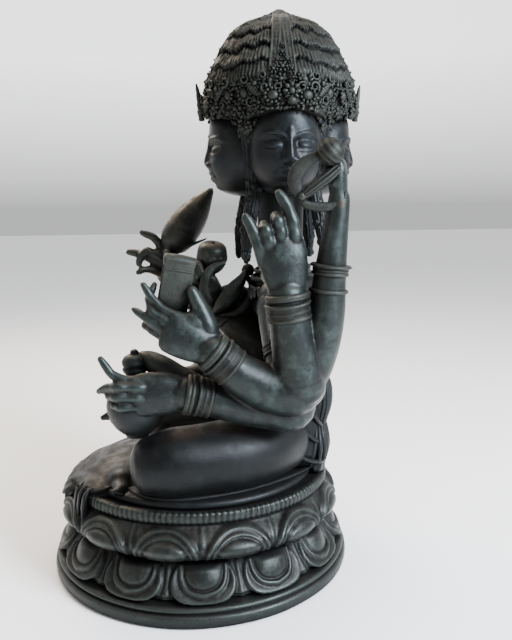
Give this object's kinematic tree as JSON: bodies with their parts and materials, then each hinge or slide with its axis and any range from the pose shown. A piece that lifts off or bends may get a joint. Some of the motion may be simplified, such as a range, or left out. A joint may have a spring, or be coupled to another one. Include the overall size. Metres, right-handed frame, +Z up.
{
  "type": "brahma statue",
  "caption": "Cast bronze seated deity with several heads and arms holding attributes, on a round double-lotus base that stands by its own weight.",
  "frame": {"origin": "centre of the base's flat underside", "axes": "+Z up; the figure's front face looks along -Y and its left side is towards +X"},
  "size_m": [0.201, 0.2101, 0.3625],
  "materials": {
    "base_bronze": "cast bronze, near-black brown patina with grey-blue sheen on raised carving, semi-gloss",
    "figure_bronze": "cast bronze, dark brown patina with grey-green sheen, reddish-brown residue in places, semi-gloss"
  },
  "bodies": {
    "root": {"lotus_base": "base_bronze", "figure": "figure_bronze"}
  },
  "joints": []
}
